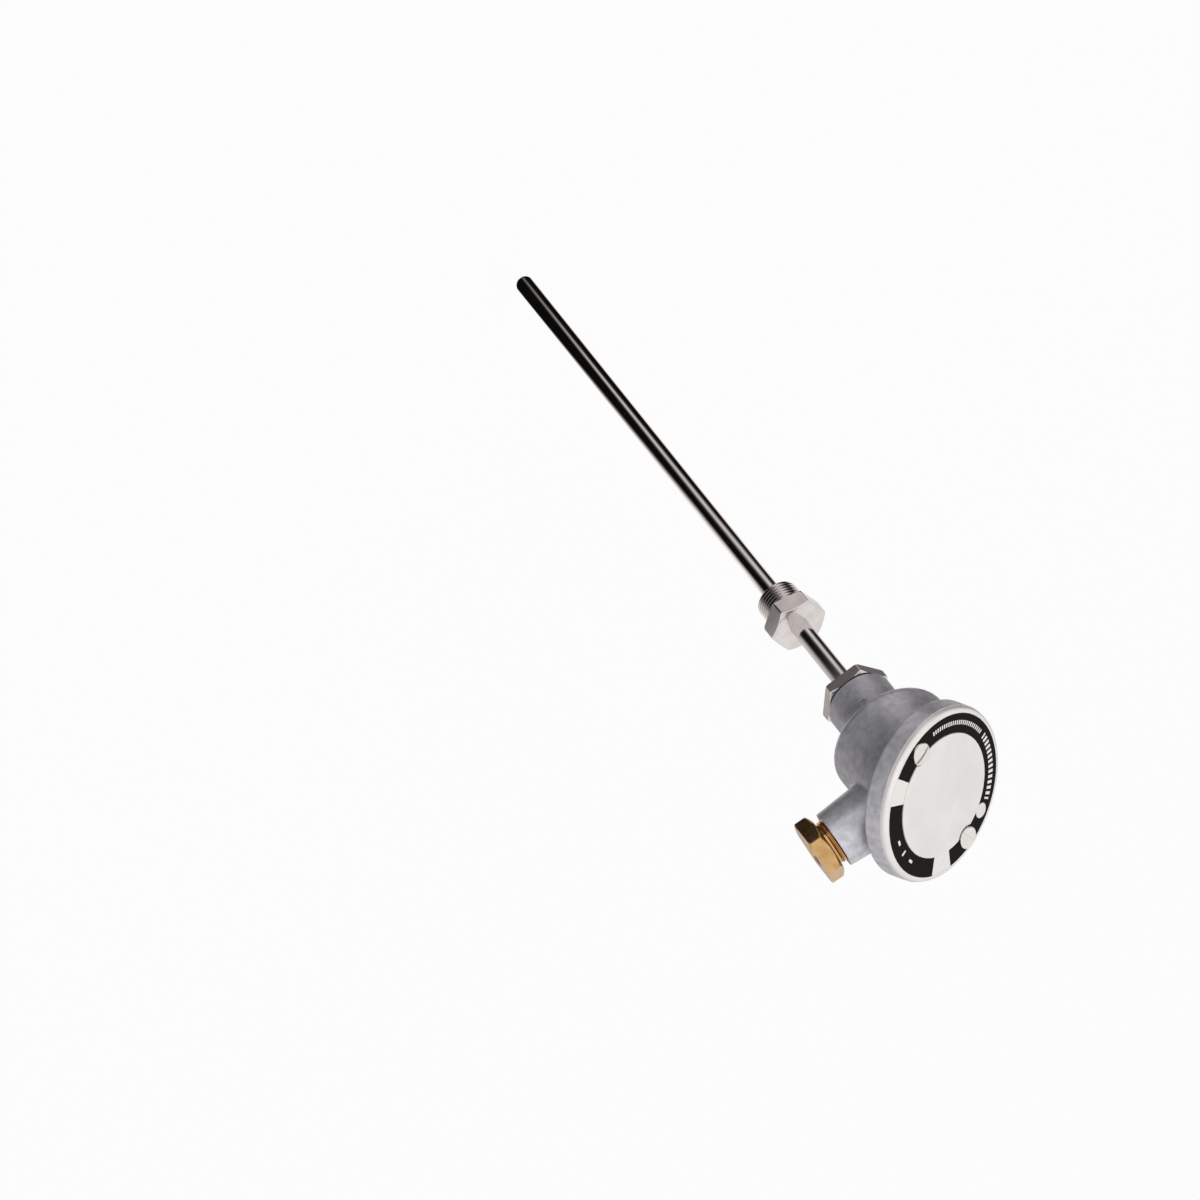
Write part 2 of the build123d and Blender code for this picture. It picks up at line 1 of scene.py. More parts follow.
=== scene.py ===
import json
import math
import bpy
import numpy as np
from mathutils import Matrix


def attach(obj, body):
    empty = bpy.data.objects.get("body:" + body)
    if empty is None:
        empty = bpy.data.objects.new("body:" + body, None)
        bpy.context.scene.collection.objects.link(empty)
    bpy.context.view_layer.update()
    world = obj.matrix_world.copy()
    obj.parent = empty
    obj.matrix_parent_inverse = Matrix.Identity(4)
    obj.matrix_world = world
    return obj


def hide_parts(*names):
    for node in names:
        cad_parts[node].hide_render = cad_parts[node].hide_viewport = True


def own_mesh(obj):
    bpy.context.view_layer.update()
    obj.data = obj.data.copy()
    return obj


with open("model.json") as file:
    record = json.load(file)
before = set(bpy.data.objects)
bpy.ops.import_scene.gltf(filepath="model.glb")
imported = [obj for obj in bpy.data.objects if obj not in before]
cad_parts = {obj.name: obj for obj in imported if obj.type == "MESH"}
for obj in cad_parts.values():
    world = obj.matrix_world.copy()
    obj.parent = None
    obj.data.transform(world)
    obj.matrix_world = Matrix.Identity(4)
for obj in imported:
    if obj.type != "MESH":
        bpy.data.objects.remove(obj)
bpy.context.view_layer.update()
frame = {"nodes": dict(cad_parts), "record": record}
nodes = frame["nodes"]
mm = 0.001
print("frame loaded,", len(nodes), "CAD nodes")

# Where the pieces sit, in millimetres in the row frame: a middle point and the directions of
# the piece's own x, y and z
coverTilt = math.radians(25.6)
places = {
    "stem": ((0, 0, 0), ((1, 0, 0), (0, 1, 0), (0, 0, 1))),
    "entry": ((0, 0, 129.2), ((0, 1, 0), (0, 0, 1), (1, 0, 0))),
    "cover": (
        (-2.9, 0, 144.6),
        (
            (math.cos(coverTilt), 0, math.sin(coverTilt)),
            (0, 1, 0),
            (-math.sin(coverTilt), 0, math.cos(coverTilt)),
        ),
    ),
}


def placed(points, place):
    # row frame point = middle + x * xDirection + y * yDirection + z * zDirection, in metres
    middle, directions = places[place]
    return (np.asarray(middle, float) + np.asarray(points, float) @ np.asarray(directions, float)) * mm


# ---- meshes from grids ----


def ringMesh(name, rings, closedRows=False, startPoint=None, endPoint=None):
    # rings is (rows, columns, 3). Point (i, j) is joined to its neighbours (i+1, j) and (i, j+1),
    # where the columns always close, the rows close if asked, and a start or end point closes
    # the first or last ring with a fan of triangles.
    rows, columns = rings.shape[:2]
    points = rings.reshape(-1, 3)
    number = np.arange(rows * columns).reshape(rows, columns)
    upper = np.roll(number, -1, 0) if closedRows else number[1:]
    lower = number if closedRows else number[:-1]
    quads = np.stack([lower, np.roll(lower, -1, 1), np.roll(upper, -1, 1), upper], -1).reshape(-1, 4)
    faces = quads.tolist()
    for point, ring, order in ((startPoint, number[0], 1), (endPoint, number[-1], -1)):
        if point is not None:
            tip = np.full(columns, len(points))
            points = np.vstack([points, point])
            faces += np.stack([tip, np.roll(ring, -1), ring], -1)[:, ::order].tolist()
    mesh = bpy.data.meshes.new(name)
    mesh.from_pydata(points.tolist(), [], faces)
    mesh.update()
    return mesh


def showMesh(name, mesh, body, slotName, replaced=(), sharpAngle=34):
    # the slot's own material, and smooth shading that breaks where two faces meet at more than
    # the sharp angle
    piece = bpy.data.objects.new(name, mesh)
    bpy.context.scene.collection.objects.link(piece)
    mesh.shade_smooth()
    mesh.set_sharp_from_angle(angle=math.radians(sharpAngle))
    mesh.materials.append(materials[slotName])
    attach(piece, body)
    if replaced:
        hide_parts(*replaced)
    return piece


def denserProfile(points, step):
    # every run is divided evenly so that no piece of it is longer than the step
    points = np.asarray(points, float)
    line = [points[:1]]
    for a, b in zip(points[:-1], points[1:]):
        pieces = max(1, math.ceil(np.linalg.norm(b - a) / step))
        share = np.linspace(0, 1, pieces + 1)[1:, None]
        line.append(a + (b - a) * share)
    return np.vstack(line)


def turnedRings(radius, height, angles):
    # x = r cos(angle), y = r sin(angle), z = h, where r and h may also change along the ring
    radius = np.broadcast_to(radius, (len(height), len(angles)))
    height = np.broadcast_to(np.reshape(height, (len(height), -1)), radius.shape)
    return np.stack([radius * np.cos(angles), radius * np.sin(angles), height], -1)


def hexagonRadius(angles, acrossFlats, turn):
    # distance to the flats at each angle: half the width over flats / cos(angle from the flat's middle)
    fromFlat = np.mod(np.degrees(angles) - turn, 60) - 30
    return acrossFlats / 2 / np.cos(np.radians(fromFlat))


def softLower(a, b, softness):
    # the lower of two radii with the edge between them rounded: -s ln(exp(-a/s) + exp(-b/s))
    low = np.minimum(a, b)
    return low - softness * np.log(np.exp((low - a) / softness) + np.exp((low - b) / softness))


def ringAngles(columns, gap, turn):
    # even angles, moved so that each corner of a hexagon gets a column, with two more a gap away
    step = 360 / columns
    even = np.arange(columns) * step + turn
    beside = (np.arange(6) * 60 + turn)[:, None] + np.array([-gap, gap])
    return np.radians(np.sort(np.concatenate([even, beside.ravel()])))


def threadGroove(radius, height, angles, thread):
    # the radius loses depth * (1 - cos(2 pi (h / pitch - angle / 2 pi))) / 2 within the thread's
    # span, where the depth fades in over most of a turn at either end
    h = height[:, None]
    phase = h / thread["pitch"] - angles / (2 * math.pi)
    fade = np.clip((h - thread["from"]) / thread["fade"], 0, 1)
    fade = fade * np.clip((thread["to"] - h) / thread["fade"], 0, 1)
    groove = thread["depth"] * fade * (1 - np.cos(2 * math.pi * phase)) / 2
    return radius - groove


# ---- materials ----


def linearColour(hexValue):
    # sRGB to linear: c / 12.92 up to 0.04045, and ((c + 0.055) / 1.055) ^ 2.4 above
    parts = np.array([int(hexValue[i : i + 2], 16) for i in (1, 3, 5)]) / 255
    linear = np.where(parts <= 0.04045, parts / 12.92, ((parts + 0.055) / 1.055) ** 2.4)
    return (*linear.tolist(), 1.0)


def addNode(tree, kind, inputs=None, **properties):
    # inputs take a value, a socket, or a node that stands for its first output
    node = tree.nodes.new(kind)
    for name, value in properties.items():
        setattr(node, name, value)
    for name, value in (inputs or {}).items():
        if isinstance(value, bpy.types.Node):
            value = value.outputs[0]
        if isinstance(value, bpy.types.NodeSocket):
            tree.links.new(value, node.inputs[name])
        else:
            node.inputs[name].default_value = value
    return node


def newMaterial(name, sockets):
    # a Principled shader whose sockets get these values
    material = bpy.data.materials.new(name)
    material.use_nodes = True
    tree = material.node_tree
    shader = tree.nodes["Principled BSDF"]
    for socket, value in sockets.items():
        shader.inputs[socket].default_value = value
    return material, tree, shader


def perMetre(featureMm):
    # noise scale at which one cell is as wide as the feature; Object coordinates are in metres
    return 1 / (featureMm * mm)


# the noise of the slow cloud and of the fine mark, and the band of each that is spread over the
# two colours or the two roughnesses
cloudNoise = {"detail": 3.0, "roughness": 0.55, "band": (0.35, 0.65)}
markNoise = {"detail": 3.0, "roughness": 0.6, "band": (0.3, 0.7)}


def finishSurface(tree, shader, finish):
    # what each finish shares: a slow cloud between two colours, a fine mark in the roughness,
    # and the same mark as a shallow relief; the pattern may be drawn out along one axis
    place = addNode(tree, "ShaderNodeTexCoord").outputs["Object"]
    stretch = finish.get("stretch", (1, 1, 1))
    drawnOut = addNode(tree, "ShaderNodeMapping", {"Vector": place, "Scale": stretch})
    patterns = []
    for vector, size, noise in ((place, "cloudMm", cloudNoise), (drawnOut, "markMm", markNoise)):
        sockets = {"Vector": vector, "Scale": perMetre(finish[size])}
        sockets.update({"Detail": noise["detail"], "Roughness": noise["roughness"]})
        patterns.append(addNode(tree, "ShaderNodeTexNoise", sockets))
    cloud, mark = patterns
    low, high = cloudNoise["band"]
    share = addNode(tree, "ShaderNodeMapRange", {"Value": cloud, "From Min": low, "From Max": high})
    first, second = (linearColour(colour) for colour in finish["colours"])
    colour = addNode(tree, "ShaderNodeMix", {0: share, 6: first, 7: second}, data_type="RGBA")
    tree.links.new(colour.outputs[2], shader.inputs["Base Color"])
    low, high = markNoise["band"]
    smoothest, roughest = finish["rough"]
    sockets = {"Value": mark, "From Min": low, "From Max": high, "To Min": smoothest, "To Max": roughest}
    rough = addNode(tree, "ShaderNodeMapRange", sockets)
    tree.links.new(rough.outputs[0], shader.inputs["Roughness"])
    sockets = {"Height": mark, "Distance": finish["reliefMm"] * mm, "Strength": finish["relief"]}
    relief = addNode(tree, "ShaderNodeBump", sockets)
    tree.links.new(relief.outputs[0], shader.inputs["Normal"])


finishes = {
    # stainless tube, drawn and polished: nearly a mirror, with faint lines along it from the
    # die, really some hundredths of a millimetre apart and drawn coarser to show
    "drawnStainless": {
        "slot": "polished_stainless", "colours": ("#dedad8", "#d5d0ce"), "cloudMm": 14, "markMm": 0.4,
        "stretch": (1, 1, 0.01), "rough": (0.06, 0.12), "reliefMm": 0.004, "relief": 0.1, "metallic": 1.0,
    },
    # stainless bar, turned and milled: bright satin with fine marks round the axis, a quarter
    # of a millimetre apart
    "turnedStainless": {
        "slot": "turned_stainless", "colours": ("#dcd6d4", "#cfc8c6"), "cloudMm": 7, "markMm": 2.5,
        "stretch": (1, 1, 10), "rough": (0.11, 0.17), "reliefMm": 0.004, "relief": 0.1, "metallic": 1.0,
    },
    # aluminium, die cast and blasted: matt light grey with a grain of 0.7 mm and soft clouds
    # some millimetres wide
    "castAluminium": {
        "slot": "cast_aluminium", "colours": ("#b4b3ba", "#cccbd2"), "cloudMm": 3.5, "markMm": 0.7,
        "rough": (0.34, 0.46), "reliefMm": 0.08, "relief": 0.6, "metallic": 0.6,
    },
    # aluminium cover with a thin pale lacquer: satin, nearly even
    "lacqueredAluminium": {
        "slot": "cover_aluminium", "colours": ("#dbd7d4", "#e2dedb"), "cloudMm": 16, "markMm": 0.7,
        "rough": (0.3, 0.4), "reliefMm": 0.02, "relief": 0.3, "metallic": 0.4,
    },
    # nickel plating on steel: smooth and bright, a little warm
    "nickelPlatedSteel": {
        "slot": "nickel_plated_steel", "colours": ("#e6e2de", "#dedad6"), "cloudMm": 3, "markMm": 0.5,
        "rough": (0.16, 0.24), "reliefMm": 0.006, "relief": 0.12, "metallic": 1.0,
    },
    # brass bar, turned and milled: yellow gold, with a first brownish tarnish in clouds
    "turnedBrass": {
        "slot": "brass", "colours": ("#d6b07c", "#c39863"), "cloudMm": 5, "markMm": 2.5,
        "stretch": (10, 1, 1), "rough": (0.11, 0.18), "reliefMm": 0.004, "relief": 0.12, "metallic": 1.0,
    },
    # nitrile rubber, moulded: near black and matt
    "nitrileRubber": {
        "slot": "black_rubber", "colours": ("#141414", "#1d1c1b"), "cloudMm": 3, "markMm": 0.3,
        "rough": (0.55, 0.65), "reliefMm": 0.01, "relief": 0.4, "metallic": 0.0,
    },
    # steatite, pressed and fired without a glaze: off-white and chalky
    "steatite": {
        "slot": "ceramic", "colours": ("#e4dfd2", "#d8d1c2"), "cloudMm": 4, "markMm": 0.25,
        "rough": (0.65, 0.75), "reliefMm": 0.02, "relief": 0.4, "metallic": 0.0,
    },
    # magnesium oxide powder, compacted: white and dull
    "magnesiumOxide": {
        "slot": "mineral_powder", "colours": ("#eeeeea", "#e2e2dc"), "cloudMm": 1, "markMm": 0.1,
        "rough": (0.8, 0.9), "reliefMm": 0.01, "relief": 0.4, "metallic": 0.0,
    },
    # epoxy resin, cast: red brown with a slight gloss
    "epoxyResin": {
        "slot": "potting", "colours": ("#54200f", "#6a2c17"), "cloudMm": 2, "markMm": 0.3,
        "rough": (0.3, 0.4), "reliefMm": 0.01, "relief": 0.4, "metallic": 0.0,
    },
    # nickel wire, drawn: grey and bright
    "nickelWire": {
        "slot": "nickel_wire", "colours": ("#b9b5ad", "#aca89f"), "cloudMm": 2, "markMm": 0.3,
        "rough": (0.22, 0.3), "reliefMm": 0.005, "relief": 0.15, "metallic": 1.0,
    },
    # fluoropolymer insulation, extruded: smooth and waxy
    "redInsulation": {
        "slot": "lead_red", "colours": ("#a3130f", "#8d0f0c"), "cloudMm": 4, "markMm": 0.2,
        "rough": (0.25, 0.35), "reliefMm": 0.004, "relief": 0.3, "metallic": 0.0,
    },
    "whiteInsulation": {
        "slot": "lead_white", "colours": ("#ece9e2", "#dedad1"), "cloudMm": 4, "markMm": 0.2,
        "rough": (0.25, 0.35), "reliefMm": 0.004, "relief": 0.3, "metallic": 0.0,
    },
}

materials = {}
for finishName, finish in finishes.items():
    material, tree, shader = newMaterial(finishName, {"Metallic": finish["metallic"]})
    finishSurface(tree, shader, finish)
    materials[finish["slot"]] = material
print("materials made:", len(materials))

# ---- the label ring's own print ----

labelPrint = {
    "innerRadius": 30.1,
    "outerRadius": 39.3,
    "thickness": 0.5,
    "edge": 0.06,
    "rim": 1.5,  # width of the outermost and innermost rows of the flat face
    "bare": ((-64.5, -45.0), (47.0, 67.0)),  # sectors without print, in degrees
    # plain bare marks: sector in degrees, step, share of the step, and band of radii
    "marks": (
        ((124.0, 182.0), 4.4, 0.55, (33.5, 36.6)),
        ((187.0, 252.0), 2.6, 0.55, (33.9, 36.0)),
        ((346.6, 351.4), 360.0, 1.0, (33.4, 34.7)),
        ((12.1, 16.9), 360.0, 1.0, (33.4, 34.7)),
        ((0.2, 2.2), 360.0, 1.0, (32.5, 35.5)),
    ),
    "columns": 360,
    "mapRadius": 100.0,  # millimetres that the map's v counts as 1
    "ink": ("#110e0d", "#191514"),
    "inkCloudMm": 6,
    "rough": (0.38, 0.5),
    "specular": 0.03,
    "bareColour": "#e2dedb",
    "bareMetallic": 0.2,
}


def printedFoil():
    # Aluminium foil, screen printed: a satin black ink field with bare bright sectors and plain
    # bare marks. It reads the ring's own map, where u is the angle / 360 and v the radius / the
    # map's radius.
    sockets = {"Specular IOR Level": labelPrint["specular"]}
    material, tree, shader = newMaterial("printedFoil", sockets)
    place = addNode(tree, "ShaderNodeTexCoord").outputs["Object"]
    ringPlace = addNode(tree, "ShaderNodeUVMap", uv_map="ringPlace")
    split = addNode(tree, "ShaderNodeSeparateXYZ", {"Vector": ringPlace})
    sizes = {"X": 360.0, "Y": labelPrint["mapRadius"]}
    angle, radius = (
        addNode(tree, "ShaderNodeMath", {0: split.outputs[axis], 1: size}, operation="MULTIPLY")
        for axis, size in sizes.items()
    )

    def nearness(value, low, high):
        # 1 where the value lies within half the width of the middle between low and high
        sockets = {0: value, 1: (low + high) / 2, 2: (high - low) / 2}
        return addNode(tree, "ShaderNodeMath", sockets, operation="COMPARE")

    bare = None
    for sector, step, share, band in labelPrint["marks"]:
        turns = addNode(tree, "ShaderNodeMath", {0: angle, 1: step}, operation="DIVIDE")
        turn = addNode(tree, "ShaderNodeMath", {0: turns}, operation="FRACT")
        mark = addNode(tree, "ShaderNodeMath", {0: turn, 1: share}, operation="LESS_THAN")
        for limit in (nearness(radius, *band), nearness(angle, *sector)):
            mark = addNode(tree, "ShaderNodeMath", {0: mark, 1: limit}, operation="MULTIPLY")
        bare = addNode(tree, "ShaderNodeMath", {0: mark, 1: bare or 0.0}, operation="MAXIMUM")
    for low, high in labelPrint["bare"]:
        sector = nearness(angle, low % 360, high % 360)
        bare = addNode(tree, "ShaderNodeMath", {0: bare, 1: sector}, operation="MAXIMUM")
    sockets = {"Vector": place, "Scale": perMetre(labelPrint["inkCloudMm"]), "Detail": cloudNoise["detail"]}
    cloud = addNode(tree, "ShaderNodeTexNoise", sockets)
    dark, lighter = (linearColour(colour) for colour in labelPrint["ink"])
    ink = addNode(tree, "ShaderNodeMix", {0: cloud, 6: dark, 7: lighter}, data_type="RGBA")
    foil = linearColour(labelPrint["bareColour"])
    colour = addNode(tree, "ShaderNodeMix", {0: bare, 6: ink.outputs[2], 7: foil}, data_type="RGBA")
    tree.links.new(colour.outputs[2], shader.inputs["Base Color"])
    metal = addNode(tree, "ShaderNodeMath", {0: bare, 1: labelPrint["bareMetallic"]}, operation="MULTIPLY")
    tree.links.new(metal.outputs[0], shader.inputs["Metallic"])
    low, high = labelPrint["rough"]
    rough = addNode(tree, "ShaderNodeMapRange", {"Value": cloud, "To Min": low, "To Max": high})
    tree.links.new(rough.outputs[0], shader.inputs["Roughness"])
    return material


materials["printed_ring"] = printedFoil()

slotOf = {part["node"]: part["material_slot"] for part in frame["record"]["subparts"]}
for node, piece in nodes.items():
    piece.data.materials.clear()
    piece.data.materials.append(materials[slotOf[node]])
print("CAD nodes dressed")

# ---- stem ----

stem = {
    "radius": 4.5,
    "boreRadius": 3.5,
    "tip": -280.0,
    "boreBottom": -277.0,
    "boreEnd": ((0.0, 1.4), (0.5, 0.4), (1.4, 0.0)),  # in from the bore, up from its bottom
    "top": 86.0,
    "columns": 96,
    "tipRows": 14,
    "step": 12,
}


def stemMesh():
    # a half ball at the tip, r = R sin a and h = tip + R (1 - cos a), then the straight wall up,
    # the top edge and the bore down to its own bottom
    angles = np.radians(np.arange(stem["columns"]) * 360 / stem["columns"])
    a = np.linspace(0, math.pi / 2, stem["tipRows"])[1:]
    ball = np.stack([stem["radius"] * np.sin(a), stem["tip"] + stem["radius"] * (1 - np.cos(a))], 1)
    wall = [(stem["radius"], stem["top"]), (stem["boreRadius"], stem["top"])]
    wall += [(stem["boreRadius"] - inset, stem["boreBottom"] + rise) for inset, rise in stem["boreEnd"]]
    profile = denserProfile(np.vstack([ball, wall]), stem["step"])
    rings = placed(turnedRings(profile[:, :1], profile[:, 1], angles), "stem")
    ends = [placed((0, 0, stem[key]), "stem") for key in ("tip", "boreBottom")]
    return ringMesh("stem", rings, startPoint=ends[0], endPoint=ends[1])


showMesh("stem", stemMesh(), "head", "polished_stainless", ["protection_tube"])

# ---- hexagon pieces: process fitting, neck bush, gland screw ----

# "below" and "above" run as (radius, height) from the bore to the hexagon and back to the bore
hexagonPieces = {
    "processFitting": {
        "place": "stem",
        "body": "head",
        "slot": "turned_stainless",
        "replaces": "process_fitting",
        "acrossFlats": 25.0,
        "turn": 47.8,
        "from": 0.0,
        "to": 9.2,
        "lowChamfer": 0.3,
        "highChamfer": 1.3,
        "below": [(4.53, -13.8), (9.2775, -13.8), (10.4775, -12.6), (10.4775, 0.0)],
        "above": [(4.53, 9.2)],
        "thread": {"crest": 10.4775, "pitch": 1.814, "depth": 0.06, "from": -15.5, "to": -0.5, "fade": 1.2},
    },
    "neckBush": {
        "place": "stem",
        "body": "head",
        "slot": "turned_stainless",
        "replaces": "neck_bush",
        "acrossFlats": 30.0,
        "turn": 3.2,
        "from": 61.7,
        "to": 67.3,
        "lowChamfer": 0.25,
        "highChamfer": 0.9,
        "below": [(4.53, 61.7)],
        "above": [(10.7, 67.3), (10.7, 68.95), (11.92, 70.2), (11.92, 85.0), (10.92, 86.0), (4.53, 86.0)],
        "thread": {"crest": 11.92, "pitch": 1.5, "depth": 0.9, "from": 69.0, "to": 87.5, "fade": 1.2},
    },
    "glandScrew": {
        "place": "entry",
        "body": "gland_screw",
        "slot": "brass",
        "replaces": "gland_screw",
        "acrossFlats": 29.0,
        "turn": 94.3,
        "from": 52.9,
        "to": 60.8,
        "lowChamfer": 1.8,
        "highChamfer": 0.5,
        "below": [(6.0, 43.03), (10.27, 43.03), (11.17, 43.93), (11.17, 51.03), (10.4, 51.8), (10.4, 52.9)],
        "above": [(7.6, 60.8), (6.0, 59.2)],
        "thread": {"crest": 11.17, "pitch": 1.411, "depth": 0.45, "from": 41.6, "to": 52.2, "fade": 0.8},
    },
}
hexagonForm = {
    "columns": 168,
    "cornerGap": 0.8,  # degrees
    "threadStep": 0.13,
    "plainStep": 4,
    "rows": (9, 7, 19),  # of the low chamfer, the flats and the high chamfer
    "threadSoftness": 0.02,
    "edgeSoftness": 0.05,
    "cornerCut": 0.1,  # what the chamfers take off each corner all along
    "chamferRise": math.tan(math.radians(30)),
}


def hexagonPieceMesh(name, spec):
    # the hexagon's rings lie at the lower of the flats' radius and the chamfer cone's radius,
    # corner - cut - (distance into the chamfer) / tan 30, and a threaded wall, which is one of
    # more than two points, at the lower of its own profile and the thread's wave
    angles = ringAngles(hexagonForm["columns"], hexagonForm["cornerGap"], spec["turn"])
    thread = spec["thread"]
    corner = spec["acrossFlats"] / math.sqrt(3)
    sections = []
    for part in ("below", "above"):
        step = hexagonForm["threadStep" if len(spec[part]) > 2 else "plainStep"]
        profile = denserProfile(spec[part], step)
        wave = threadGroove(thread["crest"], profile[:, 1], angles, thread)
        radius = softLower(profile[:, :1], wave, hexagonForm["threadSoftness"])
        sections.append(turnedRings(radius, profile[:, 1], angles))
    low, high = spec["from"], spec["to"]
    lowRows, flatRows, highRows = hexagonForm["rows"]
    heights = np.concatenate(
        [
            np.linspace(low, low + spec["lowChamfer"], lowRows)[:-1],
            np.linspace(low + spec["lowChamfer"], high - spec["highChamfer"], flatRows)[:-1],
            np.linspace(high - spec["highChamfer"], high, highRows),
        ]
    )
    inLow = np.maximum(0, low + spec["lowChamfer"] - heights)
    inHigh = np.maximum(0, heights - high + spec["highChamfer"])
    cone = corner - hexagonForm["cornerCut"] - (inLow + inHigh) / hexagonForm["chamferRise"]
    flats = hexagonRadius(angles, spec["acrossFlats"], spec["turn"])
    radius = softLower(cone[:, None], flats[None, :], hexagonForm["edgeSoftness"])
    hexagon = turnedRings(radius, heights, angles)
    rings = np.concatenate([sections[0], hexagon, sections[1]])
    return ringMesh(name, placed(rings, spec["place"]), closedRows=True)


for pieceName, spec in hexagonPieces.items():
    mesh = hexagonPieceMesh(pieceName, spec)
    showMesh(pieceName, mesh, spec["body"], spec["slot"], [spec["replaces"]])
print("stem, fitting, bush and gland screw made")

# ---- cover with its printed ring, rivet and screws ----

cover = {
    "radius": 42.0,
    "edgeRadius": 2.2,
    "thickness": 3.2,
    "disc": 30.0,
    "discEdge": 0.25,
    "discStep": 0.6,
    "crown": 0.6,
    "seat": 39.4,
    "seatDepth": 0.5,
    "screwCircle": 33.3,
    "spotFace": 6.1,
    "seatChamfer": 0.1,
    "spigot": (25.2, 27.0, 2.4),  # inner and outer radius, and height
    "columns": 288,
    "underStart": 8,
    "underStep": 5,
    "edgeRows": 13,
    "discEdgeRows": 6,
    "discRows": 26,
}


def discRim(angles):
    # the disc's radius, less where a screw's spot face bites it: there the ray from the middle
    # meets that circle at d cos x - sqrt(s^2 - (d sin x)^2), with x the angle from the screw
    fromScrew = np.arcsin(np.cos(angles))
    across = cover["screwCircle"] * np.sin(fromScrew)
    reach = cover["spotFace"] ** 2 - across**2
    bite = cover["screwCircle"] * np.cos(fromScrew) - np.sqrt(np.maximum(reach, 0))
    return np.where(reach > 0, np.minimum(bite, cover["disc"]), cover["disc"])


def coverMesh():
    # turned about its own axis: underside with its spigot, rounded edge, seat of the ring, then
    # the disc, whose height is step + crown (1 - (r / disc)^2)
    angles = np.radians(np.arange(cover["columns"]) * 360 / cover["columns"])
    radius, edge, bottom = cover["radius"], cover["edgeRadius"], -cover["thickness"]
    inner, outer, depth = cover["spigot"]
    under = [(cover["underStart"], bottom), (inner, bottom), (inner, bottom - depth)]
    under += [(outer, bottom - depth), (outer, bottom), (radius, bottom)]
    under = denserProfile(under, cover["underStep"])
    a = np.linspace(0, math.pi / 2, cover["edgeRows"])
    rounded = np.stack([radius - edge + edge * np.cos(a), -edge + edge * np.sin(a)], 1)
    wall, chamfer = cover["seat"], cover["seatChamfer"]
    seat = np.array([(wall + chamfer, 0), (wall, -chamfer), (wall, -cover["seatDepth"])])
    plain = np.vstack([under, rounded, seat])
    rim = discRim(angles)
    b = np.linspace(0, math.pi / 2, cover["discEdgeRows"])[:, None]
    e = cover["discEdge"]
    edgeRadius = np.vstack([rim[None, :], rim - e + e * np.cos(b)])
    rimHeight = cover["discStep"] + cover["crown"] * (1 - (rim / cover["disc"]) ** 2)
    edgeHeight = np.vstack([np.full((1, len(angles)), -cover["seatDepth"]), rimHeight - e + e * np.sin(b)])
    share = np.linspace(1, 0, cover["discRows"])[1:-1, None]
    topRadius = share * (rim - e)
    topHeight = cover["discStep"] + cover["crown"] * (1 - (topRadius / cover["disc"]) ** 2)
    radii = np.vstack([np.repeat(plain[:, :1], len(angles), 1), edgeRadius, topRadius])
    heights = np.vstack([np.repeat(plain[:, 1:], len(angles), 1), edgeHeight, topHeight])
    rings = placed(turnedRings(radii, heights, angles), "cover")
    ends = [(0, 0, bottom), (0, 0, cover["discStep"] + cover["crown"])]
    start, end = (placed(point, "cover") for point in ends)
    return ringMesh("cover", rings, startPoint=start, endPoint=end)


showMesh("cover", coverMesh(), "head", "cover_aluminium", ["head_cover"])


def labelRingMesh():
    # a flat band with softened edges, and a map of u = angle / 360 and v = radius / map's radius
    columns = labelPrint["columns"]
    angles = np.radians(np.arange(columns) * 360 / columns)
    inner, outer, thick = (labelPrint[key] for key in ("innerRadius", "outerRadius", "thickness"))
    edge, rim = labelPrint["edge"], labelPrint["rim"]
    profile = np.array(
        [
            (inner, -thick),
            (outer, -thick),
            (outer, -edge),
            (outer - edge, 0),
            (outer - rim, 0),
            (inner + rim, 0),
            (inner + edge, 0),
            (inner, -edge),
        ]
    )
    rings = placed(turnedRings(profile[:, :1], profile[:, 1], angles), "cover")
    mesh = ringMesh("labelRing", rings, closedRows=True)
    rows = len(profile)
    row, column = np.divmod(np.arange(rows * columns), columns)
    corners = np.array([(0, 0), (0, 1), (1, 1), (1, 0)])
    u = (column[:, None] + corners[:, 1]) / columns
    v = profile[(row[:, None] + corners[:, 0]) % rows, 0] / labelPrint["mapRadius"]
    ringMap = mesh.uv_layers.new(name="ringPlace")
    ringMap.data.foreach_set("uv", np.stack([u, v], -1).astype(np.float32).ravel())
    return mesh


showMesh("labelRing", labelRingMesh(), "head", "printed_ring", ["label_ring"])

rivet = {
    "angle": 114.5,
    "circle": 34.1,
    "headRadius": 3.7,
    "headHeight": 1.1,
    "shankRadius": 1.5,
    "length": 3.2,
    "columns": 48,
    "capRows": 14,
}


def rivetMesh():
    # the head is a cap of a ball through its rim and top: h = top - R + sqrt(R^2 - r^2)
    angles = np.radians(np.arange(rivet["columns"]) * 360 / rivet["columns"])
    ball = (rivet["headRadius"] ** 2 + rivet["headHeight"] ** 2) / (2 * rivet["headHeight"])
    r = rivet["headRadius"] * np.sin(np.linspace(math.pi / 2, 0, rivet["capRows"])[:-1])
    cap = np.stack([r, rivet["headHeight"] - ball + np.sqrt(ball**2 - r**2)], 1)
    shank = [(rivet["shankRadius"], -rivet["length"]), (rivet["shankRadius"], 0)]
    profile = np.vstack([shank, cap])
    rings = turnedRings(profile[:, :1], profile[:, 1], angles)
    middle = np.radians(rivet["angle"])
    shift = rivet["circle"] * np.array([math.cos(middle), math.sin(middle), 0])
    ends = [np.array([0, 0, -rivet["length"]]), np.array([0, 0, rivet["headHeight"]])]
    start, end = (placed(point + shift, "cover") for point in ends)
    return ringMesh("rivet", placed(rings + shift, "cover"), startPoint=start, endPoint=end)


showMesh("rivet", rivetMesh(), "head", "nickel_plated_steel", ["cover_rivet"])

